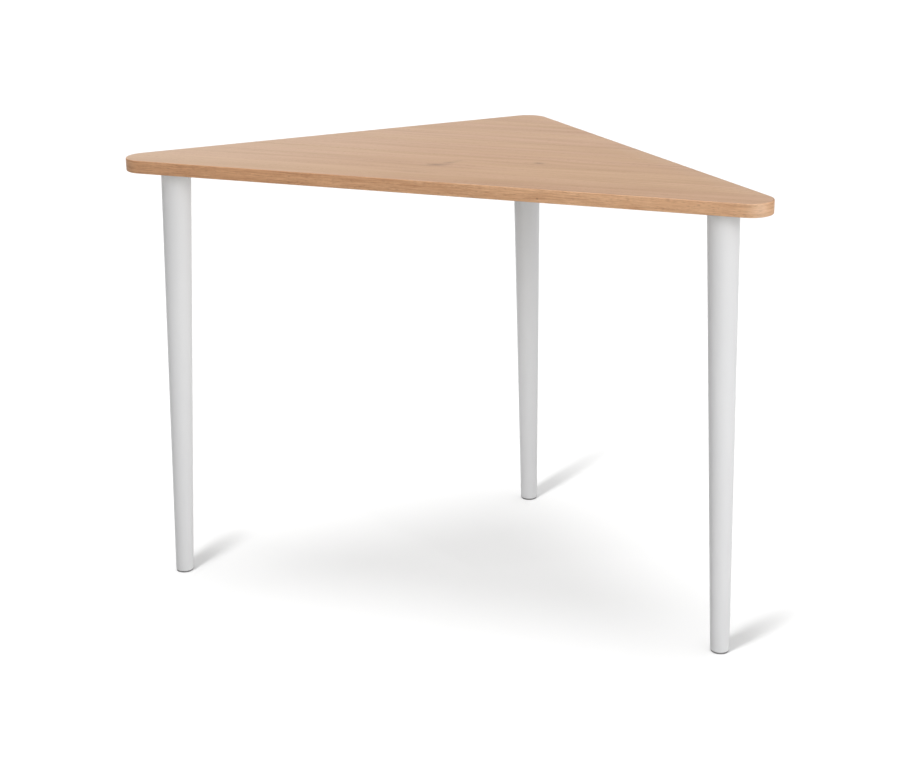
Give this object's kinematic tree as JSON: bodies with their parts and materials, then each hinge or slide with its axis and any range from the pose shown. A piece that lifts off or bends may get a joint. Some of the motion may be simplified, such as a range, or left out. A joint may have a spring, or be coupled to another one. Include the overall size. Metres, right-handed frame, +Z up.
{
  "type": "corner table",
  "caption": "Corner table with a right-angled triangular oak-veneered top, rounded corners and round tapered white legs that lean slightly outwards.",
  "frame": {"origin": "centre of the bounding box, on the floor plane under the glides", "axes": "+X along the long front edge to the right, +Y from the front edge towards the right-angled back corner, +Z up"},
  "size_m": [1.075, 0.574, 0.75],
  "materials": {
    "oak_face": "light oak veneer, matt lacquer, grain along the front edge",
    "oak_edge": "light oak edging, matt lacquer, grain along the edge",
    "backing_sheet": "plain light wood veneer, matt",
    "particle_board": "raw particle board",
    "white_lacquer": "satin white lacquer",
    "zinc_steel": "bright zinc plating",
    "glide_plastic": "grey moulded plastic"
  },
  "bodies": {
    "root": {"top_core": "particle_board", "face_sheet": "oak_face", "backing_sheet": "backing_sheet", "edge_band": "oak_edge", "left_leg": "white_lacquer", "left_mounting_plate": "zinc_steel", "left_hanger_bolt": "zinc_steel", "left_plate_screw_1": "zinc_steel", "left_plate_screw_2": "zinc_steel", "left_plate_screw_3": "zinc_steel", "left_plate_screw_4": "zinc_steel", "left_glide": "glide_plastic", "left_glide_nail": "zinc_steel", "right_leg": "white_lacquer", "right_mounting_plate": "zinc_steel", "right_hanger_bolt": "zinc_steel", "right_plate_screw_1": "zinc_steel", "right_plate_screw_2": "zinc_steel", "right_plate_screw_3": "zinc_steel", "right_plate_screw_4": "zinc_steel", "right_glide": "glide_plastic", "right_glide_nail": "zinc_steel", "back_leg": "white_lacquer", "back_mounting_plate": "zinc_steel", "back_hanger_bolt": "zinc_steel", "back_plate_screw_1": "zinc_steel", "back_plate_screw_2": "zinc_steel", "back_plate_screw_3": "zinc_steel", "back_plate_screw_4": "zinc_steel", "back_glide": "glide_plastic", "back_glide_nail": "zinc_steel"}
  },
  "joints": []
}
